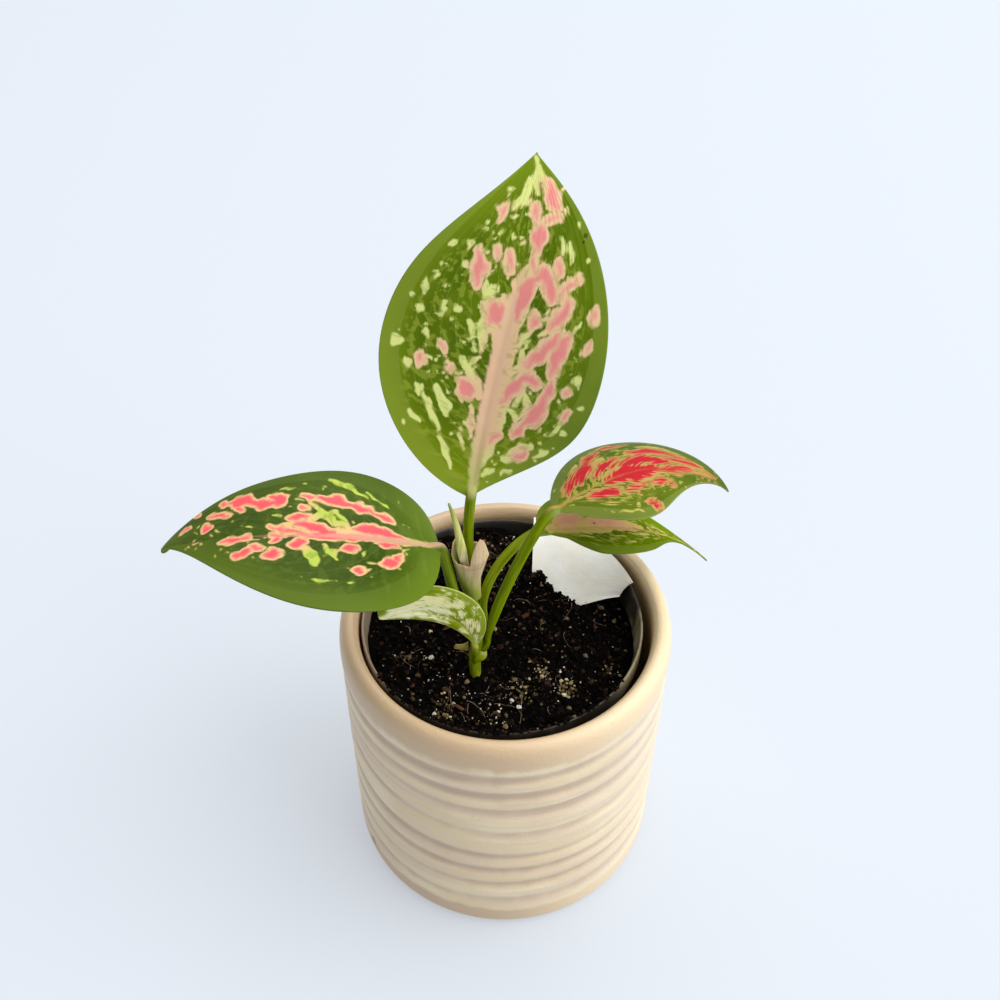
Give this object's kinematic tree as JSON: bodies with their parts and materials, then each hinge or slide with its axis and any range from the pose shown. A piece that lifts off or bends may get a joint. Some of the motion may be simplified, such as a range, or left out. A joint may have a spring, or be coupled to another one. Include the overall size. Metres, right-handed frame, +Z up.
{
  "type": "potted red valentine aglaonema",
  "caption": "Young aroid house plant with green leaves marked pink and cream, growing in a plastic grower pot that stands inside a ridged cream ceramic pot.",
  "frame": {"origin": "centre of the ceramic pot's flat base, on the surface that it stands on", "axes": "+Z up; the side seen first faces -Y, with the left leaf towards -X"},
  "size_m": [0.1573, 0.1, 0.2338],
  "materials": {
    "glaze": "satin",
    "nursery_plastic": "satin",
    "soil": "matte",
    "label_plastic": "satin",
    "stem_green": "satin",
    "leaf_bright": "satin",
    "leaf_dark": "satin",
    "leaf_crimson": "satin",
    "leaf_muted": "satin",
    "leaf_cream": "satin",
    "sheath_papery": "matte",
    "spear_pale": "satin",
    "scale_dry": "matte",
    "perlite": "matte",
    "bark": "matte"
  },
  "bodies": {
    "root": {"ceramic_pot": "glaze", "nursery_pot": "nursery_plastic", "soil": "soil", "plant_label": "label_plastic", "stem": "stem_green", "leaf_upright": "leaf_bright", "leaf_left": "leaf_dark", "leaf_right_upper": "leaf_crimson", "leaf_right_lower": "leaf_muted", "leaf_small": "leaf_cream", "sheath": "sheath_papery", "new_leaf_spear": "spear_pale", "dry_scale": "scale_dry", "perlite_1": "perlite", "perlite_2": "perlite", "perlite_3": "perlite", "perlite_4": "perlite", "perlite_5": "perlite", "perlite_6": "perlite", "bark_1": "bark", "bark_2": "bark", "bark_3": "bark"}
  },
  "joints": []
}
